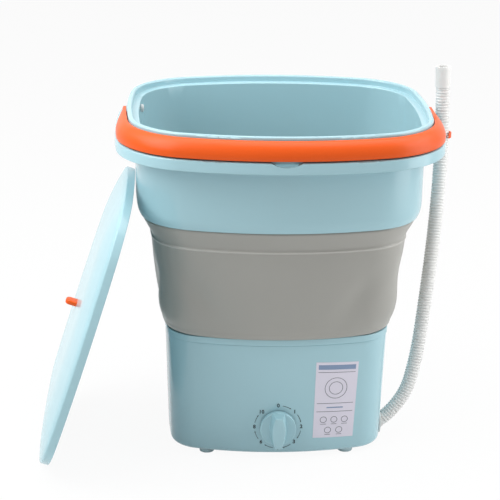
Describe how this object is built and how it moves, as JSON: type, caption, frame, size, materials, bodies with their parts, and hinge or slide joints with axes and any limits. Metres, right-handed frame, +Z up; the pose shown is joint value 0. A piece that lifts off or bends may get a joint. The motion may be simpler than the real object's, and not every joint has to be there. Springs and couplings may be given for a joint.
{
  "type": "portable washing machine",
  "caption": "Folding portable washing machine: dial base, soft bellows wall, upper tub with a bail handle, drain hose in a clip and a loose domed lid leaning beside it.",
  "frame": {"origin": "on the floor under the middle of the tub", "axes": "+Z up, the dial faces -Y, the drain hose is on +X and the lid leans on -X"},
  "size_m": [0.4584, 0.351, 0.41],
  "materials": {
    "blue_plastic": "smooth moulded",
    "grey_bellows": "soft satin",
    "orange_plastic": "satin moulded",
    "hose_plastic": "ribbed",
    "blue_inner_plastic": "smooth moulded",
    "white_plastic": "moulded",
    "clear_plug": "translucent",
    "foot_rubber": "matte",
    "dark_rubber": "matte",
    "black_plastic": "moulded",
    "capacitor_can": "smooth",
    "screw_steel": "zinc plated",
    "bearing_steel": "ground",
    "motor_metal": "galvanised",
    "motor_core": "laminated",
    "motor_pulley_metal": "turned"
  },
  "bodies": {
    "base": {"base_housing": "blue_plastic", "base_plate": "white_plastic", "rubber_feet": "foot_rubber", "base_screws": "screw_steel", "floor_screws": "screw_steel", "wash_floor": "blue_inner_plastic", "collar_ring": "blue_plastic", "bellows": "grey_bellows", "drain_strainer": "white_plastic", "drain_elbow": "white_plastic", "hose_outlet": "white_plastic", "drain_hose": "hose_plastic", "bearing_upper": "bearing_steel", "bearing_lower": "bearing_steel", "shaft_seal": "dark_rubber", "drive_belt": "dark_rubber", "motor_can": "motor_metal", "motor_plate": "motor_metal", "motor_stator": "motor_core", "motor_screws": "screw_steel", "timer_body": "black_plastic", "timer_screws": "screw_steel", "power_inlet": "black_plastic", "run_capacitor": "capacitor_can", "mains_lead": "black_plastic", "motor_lead": "black_plastic"},
    "upper": {"upper_tub": "blue_plastic", "wall_plug": "clear_plug", "hose_clip": "orange_plastic", "hose_cuff": "hose_plastic"},
    "carry_handle": {"handle": "orange_plastic"},
    "lid": {"lid": "blue_plastic", "lid_handle": "orange_plastic"},
    "dial": {"timer_knob": "blue_plastic", "timer_shaft": "white_plastic"},
    "drive": {"drive_shaft": "bearing_steel", "pulsator": "blue_inner_plastic", "pulsator_screw": "screw_steel", "driven_pulley": "black_plastic", "pulley_nut": "screw_steel"},
    "rotor": {"motor_rotor": "motor_core", "motor_shaft": "bearing_steel", "motor_pulley": "motor_pulley_metal"}
  },
  "joints": [
    {"name": "fold", "type": "slide", "parent": "base", "child": "upper", "axis": [0, 0, -1], "range_m": [0, 0.15], "deforming": ["bellows", "drain_hose"]},
    {"name": "handle_swing", "type": "hinge", "parent": "upper", "child": "carry_handle", "pos_m": [0, 0, 0.36315], "axis": [-1, 0, 0], "range_deg": [0, 180]},
    {"name": "lid_aside", "type": "slide", "parent": "base", "child": "lid", "axis": [-1, 0, 0], "range_m": [0, 0.15]},
    {"name": "timer_turn", "type": "hinge", "parent": "base", "child": "dial", "pos_m": [0, -0.105, 0.0377], "axis": [0, 1, 0], "range_deg": [0, 315]},
    {"name": "pulsator_spin", "type": "hinge", "parent": "base", "child": "drive", "pos_m": [0, 0, 0.1], "axis": [0, 0, 1], "continuous": true},
    {"name": "motor_spin", "type": "hinge", "parent": "base", "child": "rotor", "pos_m": [-0.058, 0.03, 0.05], "axis": [0, 0, 1], "continuous": true}
  ],
  "couplings": [
    {"joint": "lid_aside", "follows": "fold", "ratio": 1},
    {"joint": "motor_spin", "follows": "pulsator_spin", "ratio": 3.7184}
  ]
}
